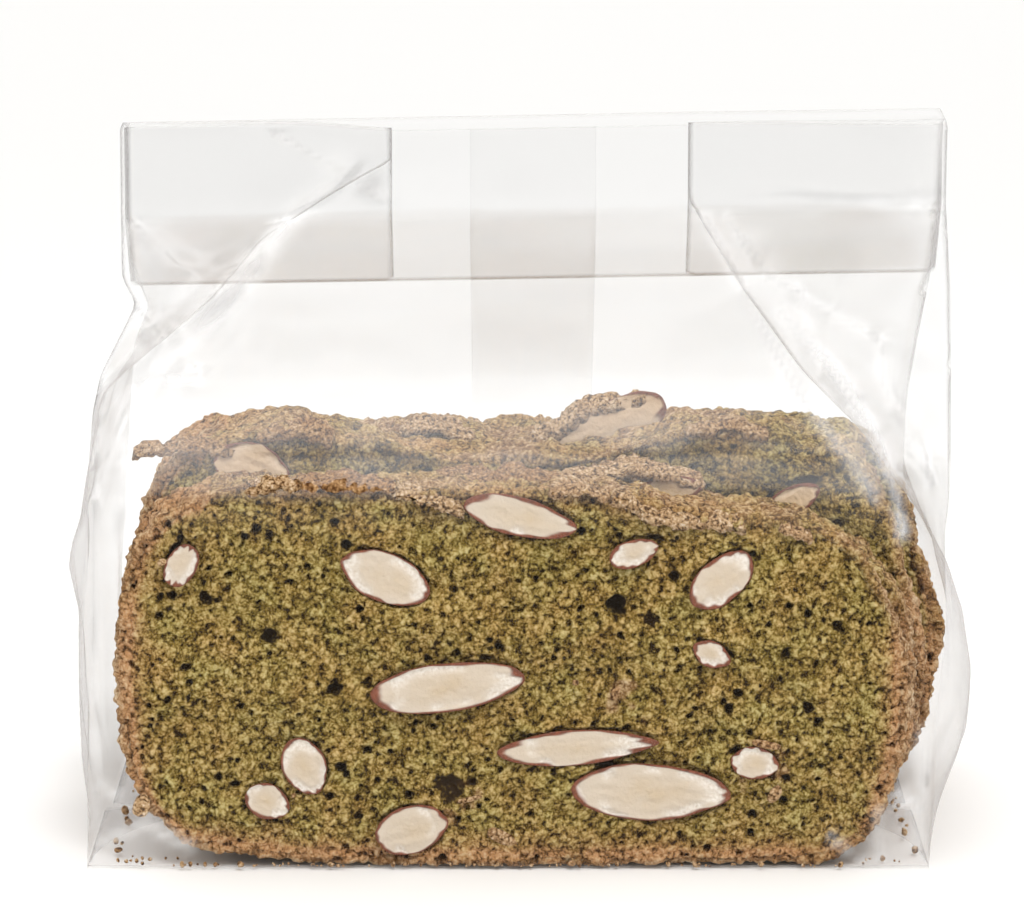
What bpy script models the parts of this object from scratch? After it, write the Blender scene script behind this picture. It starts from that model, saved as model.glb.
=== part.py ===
"""Almond wafers in a clear gusseted bag, as one closed solid.

Five upright slices of almond loaf fill the lower block of the bag, and the outer two press
their rounded outlines into its front and back. Above them the film draws in like a tent to a
flat header, which is sealed across and folded over at the back. The solid is the outer form
of the filled bag, standing on its base.

Frame: +Z up, the front panel faces -Y, and the origin is the centre of the base.
Lengths below are in millimetres, and MM turns them into Blender's metres.
"""

import math

import bmesh
import bpy

MM = 0.001
NAME = "bag"

# The five slices that give the bag its depth
SLICE_COUNT = 5
SLICE_PITCH = 15.3
SLICE_TOP = 56.0

# From the middle of the base panel to the middle of the whole outline, in X and Y
CENTRE_SHIFT = (-0.96, -0.2)

# The header: sealed across, with the mouth of the bag folded down behind it
TENT_TOP = 91.0
SEAL_HEIGHT = 91.4
HEADER_TOP = 106.1
HEADER_TILT = 0.018
FLAP_END = 80.0
FLAP_STEP = 0.8
SEAL_PINCH = 0.35
SEAL_HALF_HEIGHT = 0.9

# The lap seam that closes the film tube, down the middle of the back
SEAM_LEFT = -6.2
SEAM_RIGHT = 12.5
SEAM_RAISE = 0.4
SEAM_EDGE = 0.3

# How the panels turn into the side gussets
FOLD_REACH = 5.0
FOLD_DROP = 1.3
BASE_ROUNDING = 1.6
GUSSET_SPAN = 0.93
RIB_DEPTH = 0.7

# The outer slices press against the film, which falls back round their rounded corners
SLICE_MIDDLE = (0.1, 28.7)
SLICE_HALF = (57.5, 27.7)
SLICE_CORNER = 11.0
CORNER_SLACK = 1.5
SLACK_REACH = 5.0

# Heights and values of the outline that change up the bag, as (z, value) stops
LEFT_FOLD_X = [
    (0.0, -61.8), (25.0, -61.6), (54.0, -61.4), (66.0, -61.2), (71.0, -60.0),
    (80.0, -55.8), (85.0, -58.0), (106.0, -58.5),
]
RIGHT_FOLD_X = [
    (0.0, 60.8), (25.0, 61.4), (48.0, 62.8), (56.0, 63.4), (81.0, 64.6), (106.0, 65.0),
]
FRONT_DEPTH = [
    (0.0, 38.9), (54.5, 38.9), (57.5, 37.9), (61.0, 35.2), (66.0, 30.2), (72.0, 23.4),
    (79.0, 15.0), (85.0, 8.2), (89.0, 3.9), (91.0, 1.5), (93.0, 1.1), (106.1, 1.0),
]
BACK_DEPTH = [
    (0.0, 38.9), (54.5, 38.9), (57.5, 37.7), (61.0, 34.6), (66.0, 28.6), (72.0, 20.6),
    (79.0, 12.2), (85.0, 6.0), (89.0, 3.0), (91.0, 1.5), (93.0, 1.1), (106.1, 1.0),
]
LEFT_BULGE = [
    (0.0, 0.6), (5.0, 1.8), (20.0, 3.4), (40.0, 5.4), (50.0, 3.6), (56.0, 0.0),
    (64.0, -3.5), (75.0, -10.5), (85.0, -18.0), (91.0, -22.0), (91.6, 0.0), (106.1, 0.0),
]
RIGHT_BULGE = [
    (0.0, 0.6), (4.0, 2.8), (18.0, 7.2), (31.0, 7.0), (46.0, 3.4), (54.0, 0.0),
    (61.0, -5.0), (70.0, -12.0), (82.0, -19.0), (91.0, -24.0), (91.6, 0.0), (106.1, 0.0),
]

# Heights of the cross-sections that the skin is stretched over
SECTION_HEIGHTS = [
    0.0, 0.35, 0.9, 1.8, 3.2, 5.0, 7.5, 10.5, 14.0, 18.0, 23.0, 28.0, 33.0, 38.0, 42.0, 45.5,
    48.5, 51.0, 53.0, 54.5, 56.0, 57.5, 59.5, 62.0, 65.0, 68.5, 72.0, 75.0, 77.5, 79.8, 80.0,
    82.5, 85.0, 87.0, 89.0, 90.0, 91.0, 91.6, 92.4, 97.0, 102.0, 105.2, 106.1,
]

FILM_COLOUR = (0.90, 0.89, 0.87, 1.0)
FILM_ROUGHNESS = 0.12


def at_height(stops, z):
    """The value at height z between the stops of a table."""
    if z <= stops[0][0]:
        return stops[0][1]
    for (low, first), (high, second) in zip(stops, stops[1:]):
        if z <= high:
            return first + (second - first) * (z - low) / (high - low)
    return stops[-1][1]


def smooth_step(low, high, value):
    """0 below low, 1 above high, and an even curve between them."""
    share = min(1.0, max(0.0, (value - low) / (high - low)))
    return share * share * (3.0 - 2.0 * share)


def panel_positions(left, right, extra=()):
    """X positions across a panel: close together by the folds, and at any extra edges."""
    width = right - left
    from_fold = [0.0, 0.6, 1.6, 3.2, 5.5, 8.0, 11.0, 14.5]
    middle = [left + width * k / 10.0 for k in range(2, 9)]
    rows = [left + d for d in from_fold] + middle + [right - d for d in from_fold]
    return sorted(rows + list(extra))


def base_inset(z):
    """How far the wall is drawn in where it rounds over into the base."""
    if z >= BASE_ROUNDING:
        return 0.0
    drop = BASE_ROUNDING - z
    return BASE_ROUNDING - math.sqrt(BASE_ROUNDING**2 - drop**2)


def corner_slack(x, z):
    """How far the film falls back outside the rounded outline of the outer slices."""
    across = max(0.0, abs(x - SLICE_MIDDLE[0]) - SLICE_HALF[0] + SLICE_CORNER)
    up = max(0.0, abs(z - SLICE_MIDDLE[1]) - SLICE_HALF[1] + SLICE_CORNER)
    outside = math.hypot(across, up) - SLICE_CORNER
    over_slices = 1.0 - smooth_step(SLICE_TOP, SLICE_TOP + SLACK_REACH, z)
    return CORNER_SLACK * smooth_step(-1.0, SLACK_REACH, outside) * over_slices


def panel_depth(x, z, left, right, depths):
    """Distance of the front or back panel from the middle plane at x and z."""
    half = at_height(depths, z) - corner_slack(x, z)
    from_fold = min(x - left, right - x)
    drawn_in = max(0.0, 1.0 - from_fold / FOLD_REACH) ** 2
    full_body = 1.0 - smooth_step(60.0, TENT_TOP, z)
    pinch = SEAL_PINCH * max(0.0, 1.0 - abs(z - SEAL_HEIGHT) / SEAL_HALF_HEIGHT)
    return half - FOLD_DROP * drawn_in * full_body - pinch - base_inset(z)


def back_extra(x, z):
    """What the lap seam and the folded flap add to the back panel."""
    in_seam = smooth_step(SEAM_LEFT - SEAM_EDGE, SEAM_LEFT, x)
    in_seam *= 1.0 - smooth_step(SEAM_RIGHT, SEAM_RIGHT + SEAM_EDGE, x)
    flap = FLAP_STEP if z >= FLAP_END else 0.0
    return SEAM_RAISE * in_seam + flap


def side_bulge(y, share, bulge, z):
    """How far the gusset stands out at depth y, a share of the way from its middle to a fold."""
    if bulge < 0.0:
        return bulge * (1.0 - share)
    wave = math.cos(2.0 * math.pi * y / SLICE_PITCH)
    body = smooth_step(3.0, 12.0, z) * (1.0 - smooth_step(40.0, SLICE_TOP, z))
    return bulge * (1.0 - share**2) + RIB_DEPTH * wave * body * (1.0 - share**4)


def side_points(z, fold_x, bulge_stops, outwards):
    """Points along one gusset from the front to the back, between the two folds."""
    bulge = at_height(bulge_stops, z)
    steps = 2 * SLICE_COUNT
    points = []
    for k in range(1, steps):
        share = GUSSET_SPAN * (2.0 * k / steps - 1.0)
        y = share * at_height(BACK_DEPTH if share > 0.0 else FRONT_DEPTH, z)
        stand_out = side_bulge(y, abs(share), bulge, z) - base_inset(z)
        points.append((fold_x + outwards * stand_out, y))
    return points


def section(z):
    """One closed cross-section as (x, y, z) points, anticlockwise seen from above."""
    left = at_height(LEFT_FOLD_X, z)
    right = at_height(RIGHT_FOLD_X, z)
    inset = base_inset(z)
    ring = []
    for x in panel_positions(left, right):
        pulled = min(max(x, left + inset), right - inset)
        ring.append((pulled, -panel_depth(x, z, left, right, FRONT_DEPTH)))
    ring += side_points(z, right, RIGHT_BULGE, 1.0)
    seam_edges = (SEAM_LEFT - SEAM_EDGE, SEAM_LEFT, SEAM_RIGHT, SEAM_RIGHT + SEAM_EDGE)
    for x in reversed(panel_positions(left, right, seam_edges)):
        pulled = min(max(x, left + inset), right - inset)
        depth = panel_depth(x, z, left, right, BACK_DEPTH)
        ring.append((pulled, depth + back_extra(x, z)))
    ring += reversed(side_points(z, left, LEFT_BULGE, -1.0))
    tilt = HEADER_TILT * smooth_step(60.0, TENT_TOP, z)
    move_x, move_y = CENTRE_SHIFT
    return [(x + move_x, y + move_y, z + tilt * x) for x, y in ring]


def skin(sections):
    """A closed mesh stretched over the sections, with flat faces at both ends."""
    bm = bmesh.new()
    rings = [[bm.verts.new([v * MM for v in point]) for point in ring] for ring in sections]
    count = len(rings[0])
    for lower, upper in zip(rings, rings[1:]):
        for k in range(count):
            after = (k + 1) % count
            bm.faces.new((lower[k], lower[after], upper[after], upper[k]))
    bm.faces.new(list(reversed(rings[0])))
    bm.faces.new(rings[-1])
    bmesh.ops.remove_doubles(bm, verts=bm.verts, dist=1e-6)
    bmesh.ops.recalc_face_normals(bm, faces=bm.faces)
    mesh = bpy.data.meshes.new(NAME)
    bm.to_mesh(mesh)
    bm.free()
    return mesh


def film_material():
    """Clear polypropylene film, shown as a pale satin solid."""
    material = bpy.data.materials.new("clear_film")
    material.use_nodes = True
    shader = material.node_tree.nodes["Principled BSDF"]
    shader.inputs["Base Color"].default_value = FILM_COLOUR
    shader.inputs["Roughness"].default_value = FILM_ROUGHNESS
    shader.inputs["Metallic"].default_value = 0.0
    return material


def clear_scene():
    """Removes every object that the file starts with."""
    for obj in list(bpy.data.objects):
        bpy.data.objects.remove(obj, do_unlink=True)


def main():
    clear_scene()
    collection = bpy.data.collections.new("almond_wafers_in_bag")
    bpy.context.scene.collection.children.link(collection)
    mesh = skin([section(z) for z in SECTION_HEIGHTS])
    mesh.materials.append(film_material())
    mesh.shade_smooth()
    mesh.set_sharp_from_angle(angle=math.radians(35.0))
    bag = bpy.data.objects.new(NAME, mesh)
    collection.objects.link(bag)


main()
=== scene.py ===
import math

import bpy
import numpy as np
from bpy.props import FloatProperty, FloatVectorProperty, IntProperty, PointerProperty
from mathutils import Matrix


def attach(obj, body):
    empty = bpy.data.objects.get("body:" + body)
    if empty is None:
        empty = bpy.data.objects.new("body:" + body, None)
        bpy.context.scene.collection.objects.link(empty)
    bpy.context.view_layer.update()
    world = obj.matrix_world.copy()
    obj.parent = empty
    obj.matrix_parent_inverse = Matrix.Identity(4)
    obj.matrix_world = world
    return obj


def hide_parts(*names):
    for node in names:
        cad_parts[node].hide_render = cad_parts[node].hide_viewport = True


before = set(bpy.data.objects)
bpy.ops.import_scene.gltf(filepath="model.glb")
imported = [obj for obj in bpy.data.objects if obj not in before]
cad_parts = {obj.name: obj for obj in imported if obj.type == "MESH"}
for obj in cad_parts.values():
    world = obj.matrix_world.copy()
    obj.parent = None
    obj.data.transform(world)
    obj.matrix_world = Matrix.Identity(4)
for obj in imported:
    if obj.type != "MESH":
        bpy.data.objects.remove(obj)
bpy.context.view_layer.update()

bl_info = {
    "name": "Almond wafers in a bag",
    "version": (1, 0, 0),
    "blender": (4, 5, 0),
    "location": "3D View > Sidebar > Wafers",
    "description": "Slices of green tea almond loaf, standing in a clear gusseted film bag",
    "category": "Add Mesh",
}

MM = 0.001
NODE = "bag"

# Lengths in the tables below are millimetres from the middle of the base panel. The CAD
# model has its origin under the middle of the whole outline, this far from there.
CENTRE_SHIFT = np.array([-0.96, -0.2, 0.0])


def linear(hex_colour):
    """An sRGB hex colour as linear RGBA."""
    values = [int(hex_colour[k:k + 2], 16) / 255.0 for k in (1, 3, 5)]
    return [v / 12.92 if v <= 0.04045 else ((v + 0.055) / 1.055) ** 2.4 for v in values] + [1.0]


def length(name, description, default):
    """A length property in metres."""
    return FloatProperty(name=name, description=description, default=default, unit="LENGTH",
                         subtype="DISTANCE", min=0.0)


def colour(name, description, hex_colour):
    """A colour property."""
    return FloatVectorProperty(name=name, description=description, subtype="COLOR", size=4,
                               min=0.0, max=1.0, default=linear(hex_colour))


class WaferSettings(bpy.types.PropertyGroup):
    """Sizes and colours of the sliced loaf"""
    thickness: length("Thickness", "Thickness of one slice", 0.0146)
    pitch: length("Pitch", "Distance from one slice to the next", 0.0153)
    edge_round: length("Edge rounding", "How far the crust rounds over into the cut faces", 0.0011)
    grain: length("Grain", "Size of the clumps that the torn crumb is made of", 0.00125)
    fine_grain: length("Fine grain", "Size of the granules on the clumps", 0.00068)
    pit_spacing: length("Pit spacing", "Distance between the larger pores", 0.0030)
    # The crumb's light and deep colours are a painted highlight on the granules and painted shade down between
    # them
    crumb_light: colour("Crumb, light", "Granules that catch the light", "#C0A769")
    crumb_middle: colour("Crumb, middle", "Most of the crumb", "#886F31")
    crumb_deep_shade: colour("Crumb, deep", "Crumb down between the granules", "#2A1A02")
    crumb_brown: colour("Crumb, browned", "Crumb next to the crust", "#C28F5E")
    crust_tan: colour("Crust, tan", "Pale flaky crust", "#CCAA80")
    crust_brown: colour("Crust, brown", "Well baked crust", "#946B42")


class AlmondSettings(bpy.types.PropertyGroup):
    """Sizes and colours of the cut almonds"""
    skin: length("Skin", "Thickness of the brown skin round a cut almond", 0.00034)
    flesh_pale: colour("Flesh, pale", "Cut almond flesh", "#D2C4B3")
    flesh_warm: colour("Flesh, warm", "Oily middle of the cut almond", "#C9B497")
    skin_colour: colour("Skin", "Almond skin", "#8C4B2E")


class FilmSettings(bpy.types.PropertyGroup):
    """Sizes and colour of the bag"""
    film: length("Film", "Thickness of the film, drawn about half as thick again", 0.00006)
    seal_height: length("Seal height", "Height of the heat seal", 0.0914)
    fold_height: length("Fold height", "Height of the fold over the top", 0.1061)
    flap_end: length("Flap end", "Height at which the folded mouth ends at the back", 0.0798)
    tint: colour("Tint", "What one face of the film lets through", "#FEFEFE")


class StageSettings(bpy.types.PropertyGroup):
    """Floor and camera"""
    floor_colour: colour("Floor", "Floor", "#F7F6F4")
    camera_distance: length("Camera distance", "Distance of the camera from the front slice", 0.8)
    scale: FloatProperty(name="Scale", description="Size of one pixel at the front slice, in mm",
                         default=0.144, min=0.01)
    elevation: FloatProperty(name="Elevation", description="Height of the camera as an angle",
                             default=math.radians(10.0), subtype="ANGLE")


# Random numbers and noise


def cell_hash(cells, seed):
    """A random value from 0 to 1 for each whole-numbered cell."""
    c = cells.astype(np.int64)
    n = (c[:, 0] * 73856093) ^ (c[:, 1] * 19349663) ^ (c[:, 2] * 83492791) ^ (seed * 40503177)
    n = ((n ^ (n >> 15)) * 2246822519) & 0xFFFFFFFF
    n = ((n ^ (n >> 13)) * 3266489917) & 0xFFFFFFFF
    return ((n ^ (n >> 16)) & 0xFFFFFF) / float(0x1000000)


def soft_noise(points, size, seed):
    """Smooth noise from -1 to 1 that changes over about the given size."""
    p = points / size
    base = np.floor(p)
    f = p - base
    f = f * f * (3.0 - 2.0 * f)
    total = np.zeros(len(p))
    for corner in np.ndindex(2, 2, 2):
        step = np.array(corner)
        weight = np.prod(np.where(step, f, 1.0 - f), axis=1)
        total += weight * cell_hash(base + step, seed)
    return 2.0 * total - 1.0


def grains(points, size, seed):
    """Distance to the nearest grain's centre, in grain sizes, and that grain's random value."""
    p = points / size
    base = np.floor(p)
    nearest = np.full(len(p), 9.0)
    own = np.zeros(len(p))
    for corner in np.ndindex(3, 3, 3):
        cell = base + np.array(corner) - 1
        centre = cell + np.stack([cell_hash(cell, seed + k) for k in (1, 2, 3)], axis=1)
        distance = np.linalg.norm(p - centre, axis=1)
        closer = distance < nearest
        nearest = np.where(closer, distance, nearest)
        own = np.where(closer, cell_hash(cell, seed + 4), own)
    return nearest, own


def ease(low, high, value):
    """0 below low, 1 above high, and an even curve between them."""
    t = np.clip((value - low) / (high - low), 0.0, 1.0)
    return t * t * (3.0 - 2.0 * t)


def facet_noise(u, v, size, seed):
    """Flat triangles with sharp creases between them, as in crumpled film, from -1 to 1."""
    p = np.stack([u, v], axis=1) / size
    base = np.floor(p)
    f, g = (p - base).T
    near, right, up, far = (cell_hash(np.column_stack([base + step, 0.0 * f]), seed)
                            for step in ((0, 0), (1, 0), (0, 1), (1, 1)))
    low = near + (right - near) * f + (far - right) * g
    high = near + (far - up) * f + (up - near) * g
    return 2.0 * np.where(g > f, high, low) - 1.0


def stops(table, z, reach=0.0):
    """The value at z on a table of (z, value) stops, evened out over a reach to each side."""
    values = [np.interp(z + step, [row[0] for row in table], [row[1] for row in table])
              for step in np.linspace(-reach, reach, 7)]
    return np.mean(values, axis=0)


def distance_to_path(x, z, path):
    """Distance of points from a path of straight pieces."""
    nearest = np.full(len(x), 1e3)
    for (x0, z0), (x1, z1) in zip(path, path[1:]):
        t = np.clip(((x - x0) * (x1 - x0) + (z - z0) * (z1 - z0))
                    / ((x1 - x0) ** 2 + (z1 - z0) ** 2), 0.0, 1.0)
        nearest = np.minimum(nearest, np.hypot(x - x0 - t * (x1 - x0), z - z0 - t * (z1 - z0)))
    return nearest


# Objects and meshes


def start_object(name):
    """Names the primitive that was just added and returns it."""
    obj = bpy.context.active_object
    obj.name = name
    obj.data.name = name
    return obj


def deselect():
    """Clears the selection, so that operators act on new objects alone."""
    for obj in bpy.context.selected_objects:
        obj.select_set(False)


def coordinates(mesh):
    """Vertex coordinates of a mesh as an array."""
    co = np.zeros(len(mesh.vertices) * 3)
    mesh.vertices.foreach_get("co", co)
    return co.reshape(-1, 3)


def normals(mesh):
    """Vertex normals of a mesh as an array."""
    values = np.zeros(len(mesh.vertices) * 3)
    mesh.vertex_normals.foreach_get("vector", values)
    return values.reshape(-1, 3)


def set_coordinates(mesh, points):
    """Moves the vertices of a mesh."""
    mesh.vertices.foreach_set("co", np.asarray(points, dtype=np.float32).ravel())
    mesh.update()


def place(mesh, points_mm):
    """Moves the vertices to points in millimetres from the middle of the base panel."""
    set_coordinates(mesh, (points_mm + CENTRE_SHIFT) * MM)


def add_attribute(mesh, name, values):
    """Stores one number for each vertex."""
    layer = mesh.attributes.new(name, "FLOAT", "POINT")
    layer.data.foreach_set("value", np.asarray(values, dtype=np.float32))


def finish_piece(obj, material):
    """Gives a finished piece its material and ties it to the CAD model."""
    obj.data.materials.clear()
    obj.data.materials.append(material)
    obj.data.shade_smooth()
    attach(obj, "root")
    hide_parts(NODE)
    deselect()


# Materials


def add_node(tree, kind, settings, inputs, output=0):
    """Adds a node with its settings and links, and returns one of its outputs.

    An input is a value or the output to link from. The setting "stops" fills a colour ramp
    with (position, colour) pairs.
    """
    made = tree.nodes.new(kind)
    for name, value in settings.items():
        if name == "stops":
            elements = made.color_ramp.elements
            while len(elements) < len(value):
                elements.new(0.5)
            for element, (position, rgba) in zip(elements, value):
                element.position = position
                element.color = rgba
        else:
            setattr(made, name, value)
    for name, value in inputs.items():
        if isinstance(value, bpy.types.NodeSocket):
            tree.links.new(value, made.inputs[name])
        else:
            made.inputs[name].default_value = value
    return made.outputs[output]


MULTIPLY_ADD = {"operation": "MULTIPLY_ADD"}
CLAMPED = {"operation": "MULTIPLY_ADD", "use_clamp": True}
COLOURS = {"data_type": "RGBA"}


def new_material(name):
    """A material with an empty node tree."""
    material = bpy.data.materials.new(name)
    material.use_nodes = True
    material.node_tree.nodes.clear()
    return material


def attribute_values(tree, *names):
    """What the mesh carries under these names."""
    return [add_node(tree, "ShaderNodeAttribute", {"attribute_name": name}, {}, "Fac")
            for name in names]


def torn_granules(tree, on_piece):
    """The height of torn crumb: granules of about 0.5 mm in ragged clumps, with gaps between."""
    drift = add_node(tree, "ShaderNodeTexNoise", {}, {
        "Vector": on_piece, "Scale": 1.0 / (1.0 * MM), "Detail": 1.0}, "Color")
    torn = add_node(tree, "ShaderNodeVectorMath", MULTIPLY_ADD, {
        0: drift, 1: (0.0006, 0.0006, 0.0006), 2: on_piece})
    granule = add_node(tree, "ShaderNodeTexVoronoi", {}, {
        "Vector": torn, "Scale": 1.0 / (0.50 * MM), "Randomness": 1.0}, "Distance")
    sponge = add_node(tree, "ShaderNodeTexNoise", {}, {
        "Vector": torn, "Scale": 1.0 / (0.66 * MM), "Detail": 4.0, "Roughness": 0.7})
    lower = add_node(tree, "ShaderNodeMath", MULTIPLY_ADD, {0: granule, 1: -0.6, 2: -0.36})
    return add_node(tree, "ShaderNodeMath", MULTIPLY_ADD, {0: sponge, 1: 2.2, 2: lower})


def matt_surface(tree, colour, height, roughness, strength):
    """A dry surface with a fine relief, linked to the material's output."""
    bump = add_node(tree, "ShaderNodeBump", {}, {
        "Strength": strength, "Distance": 0.00045, "Height": height})
    shader = add_node(tree, "ShaderNodeBsdfPrincipled", {}, {
        "Base Color": colour, "Roughness": roughness, "Specular IOR Level": 0.25, "Normal": bump})
    finish_material(tree, shader)


def finish_material(tree, shader):
    """The material's output."""
    tree.links.new(shader, tree.nodes.new("ShaderNodeOutputMaterial").inputs["Surface"])


def crumb_material(settings):
    """Baked loaf: dry torn crumb, matt and grainy, browned towards a thin flaky crust."""
    material = new_material("baked_green_tea_crumb")
    tree = material.node_tree
    on_piece = add_node(tree, "ShaderNodeTexCoord", {}, {}, "Object")
    relief, crust, rim = attribute_values(tree, "relief", "crust", "rim")
    height = torn_granules(tree, on_piece)
    # The crumb's colour follows its height: painted shade down between the granules and in the pits, painted
    # highlight on the granule tops
    low = add_node(tree, "ShaderNodeMath", MULTIPLY_ADD, {0: height, 1: 0.85, 2: -0.46})
    level = add_node(tree, "ShaderNodeMath", MULTIPLY_ADD, {0: relief, 1: 0.88, 2: low})
    crumb = add_node(tree, "ShaderNodeValToRGB", {"stops": [
        (0.12, settings.crumb_deep_shade), (0.42, settings.crumb_middle), (0.66, settings.crumb_light),
        (0.95, linear("#DDC997"))]}, {"Fac": level})
    # Greener and browner patches, as tea powder and sugar are never quite evenly mixed
    patches = add_node(tree, "ShaderNodeTexNoise", {}, {
        "Vector": on_piece, "Scale": 1.0 / (6.0 * MM), "Detail": 4.0, "Roughness": 0.6})
    cast = add_node(tree, "ShaderNodeValToRGB", {"stops": [
        (0.35, linear("#F6FCEC")), (0.65, linear("#FFF4E6"))]}, {"Fac": patches})
    green = add_node(tree, "ShaderNodeMix", {"data_type": "RGBA", "blend_type": "MULTIPLY"}, {
        0: 1.0, 6: crumb, 7: cast}, 2)
    # The crumb is baked brown next to the crust, in an uneven band, and painted darker between the granules as
    # shade
    brown = add_node(tree, "ShaderNodeValToRGB", {"stops": [
        (0.10, linear("#4A2E12")), (0.50, settings.crumb_brown), (0.90, linear("#D9B78E"))]},
        {"Fac": level})
    uneven = add_node(tree, "ShaderNodeMath", MULTIPLY_ADD, {0: patches, 1: 1.6, 2: -0.8})
    browning = add_node(tree, "ShaderNodeMath", {"operation": "ADD"}, {0: rim, 1: uneven})
    band = add_node(tree, "ShaderNodeMath", {"operation": "MULTIPLY", "use_clamp": True}, {
        0: browning, 1: rim})
    body = add_node(tree, "ShaderNodeMix", COLOURS, {0: band, 6: green, 7: brown}, 2)
    # Crust: brown where it is bare, tan where it has flaked and dried sugar lies on it, and painted darker
    # between its granules as shade
    flaked = add_node(tree, "ShaderNodeMath", MULTIPLY_ADD, {0: patches, 1: 0.9, 2: -0.35})
    crust_level = add_node(tree, "ShaderNodeMath", MULTIPLY_ADD, {0: level, 1: 0.8, 2: flaked})
    baked = add_node(tree, "ShaderNodeValToRGB", {"stops": [
        (0.12, linear("#5A3C1E")), (0.40, settings.crust_brown), (0.66, settings.crust_tan),
        (0.95, linear("#E6CFAE"))]}, {"Fac": crust_level})
    whole = add_node(tree, "ShaderNodeMix", COLOURS, {0: crust, 6: body, 7: baked}, 2)
    matt_surface(tree, whole, height, 0.88, 0.8)
    return material


def flake_material(settings):
    """Loose crust: a thin baked skin, tan and brown, grainy with dried sugar, with painted shade between the
    granules and painted highlight on their tops.
    """
    material = new_material("flaky_baked_crust")
    tree = material.node_tree
    on_piece = add_node(tree, "ShaderNodeTexCoord", {}, {}, "Object")
    browned, = attribute_values(tree, "browned")
    height = torn_granules(tree, on_piece)
    # Colour by granule height: painted shade in the gaps, painted highlight on the tops
    tan = add_node(tree, "ShaderNodeValToRGB", {"stops": [
        (0.15, linear("#4A3018")), (0.36, linear("#A9845A")), (0.58, settings.crust_tan),
        (0.90, linear("#EBD7BD"))]}, {"Fac": height})
    brown = add_node(tree, "ShaderNodeValToRGB", {"stops": [
        (0.15, linear("#55300F")), (0.42, settings.crust_brown), (0.72, linear("#BC8F5C")),
        (0.95, linear("#E0C298"))]}, {"Fac": height})
    patches = add_node(tree, "ShaderNodeTexNoise", {}, {
        "Vector": on_piece, "Scale": 1.0 / (3.0 * MM), "Detail": 3.0})
    uneven = add_node(tree, "ShaderNodeMath", MULTIPLY_ADD, {0: patches, 1: 1.6, 2: -0.8})
    share = add_node(tree, "ShaderNodeMath", {"operation": "ADD", "use_clamp": True}, {
        0: browned, 1: uneven})
    whole = add_node(tree, "ShaderNodeMix", COLOURS, {0: share, 6: tan, 7: brown}, 2)
    matt_surface(tree, whole, height, 0.8, 0.7)
    return material


def almond_material(settings):
    """Cut almond: ivory flesh with faint fibres, waxy, in a thin matt red-brown skin."""
    material = new_material("cut_almond")
    tree = material.node_tree
    on_piece = add_node(tree, "ShaderNodeTexCoord", {}, {}, "Object")
    skin, middle, chipped, toasted = attribute_values(tree, "skin", "middle", "chipped", "toasted")
    cloud = add_node(tree, "ShaderNodeTexNoise", {}, {
        "Vector": on_piece, "Scale": 1.0 / (3.0 * MM), "Detail": 5.0, "Roughness": 0.65})
    grit = add_node(tree, "ShaderNodeTexNoise", {}, {
        "Vector": on_piece, "Scale": 1.0 / (0.5 * MM), "Detail": 3.0, "Roughness": 0.6})
    clouded = add_node(tree, "ShaderNodeMath", MULTIPLY_ADD, {0: cloud, 1: 1.6, 2: -0.1})
    warm = add_node(tree, "ShaderNodeMath", {"operation": "MULTIPLY", "use_clamp": True}, {
        0: middle, 1: clouded})
    flesh = add_node(tree, "ShaderNodeMix", COLOURS, {
        0: warm, 6: settings.flesh_pale, 7: settings.flesh_warm}, 2)
    # Where the knife chipped the flesh it is whiter and rough
    rough = add_node(tree, "ShaderNodeMath", MULTIPLY_ADD, {0: grit, 1: 3.0, 2: -0.8})
    white = add_node(tree, "ShaderNodeMath", {"operation": "MULTIPLY", "use_clamp": True}, {
        0: chipped, 1: rough})
    flesh = add_node(tree, "ShaderNodeMix", COLOURS, {
        0: white, 6: flesh, 7: linear("#ECE4D9")}, 2)
    # Almonds in the slices behind are warmer tan: partly the tone of a rougher cut, partly painted shade
    flesh = add_node(tree, "ShaderNodeMix", COLOURS, {
        0: toasted, 6: flesh, 7: linear("#DDB98C")}, 2)
    skin_share = add_node(tree, "ShaderNodeMath", CLAMPED, {0: grit, 1: 2.4, 2: -0.7})
    skin_shade = add_node(tree, "ShaderNodeMix", COLOURS, {
        0: skin_share, 6: linear("#5C2F1B"), 7: settings.skin_colour}, 2)
    whole = add_node(tree, "ShaderNodeMix", COLOURS, {0: skin, 6: flesh, 7: skin_shade}, 2)
    height = add_node(tree, "ShaderNodeMath", MULTIPLY_ADD, {0: cloud, 1: 0.8, 2: grit})
    bump = add_node(tree, "ShaderNodeBump", {}, {
        "Strength": 0.6, "Distance": 0.0003, "Height": height})
    shader = add_node(tree, "ShaderNodeBsdfPrincipled", {}, {
        "Base Color": whole, "Roughness": 0.5, "Normal": bump})
    finish_material(tree, shader)
    return material


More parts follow.
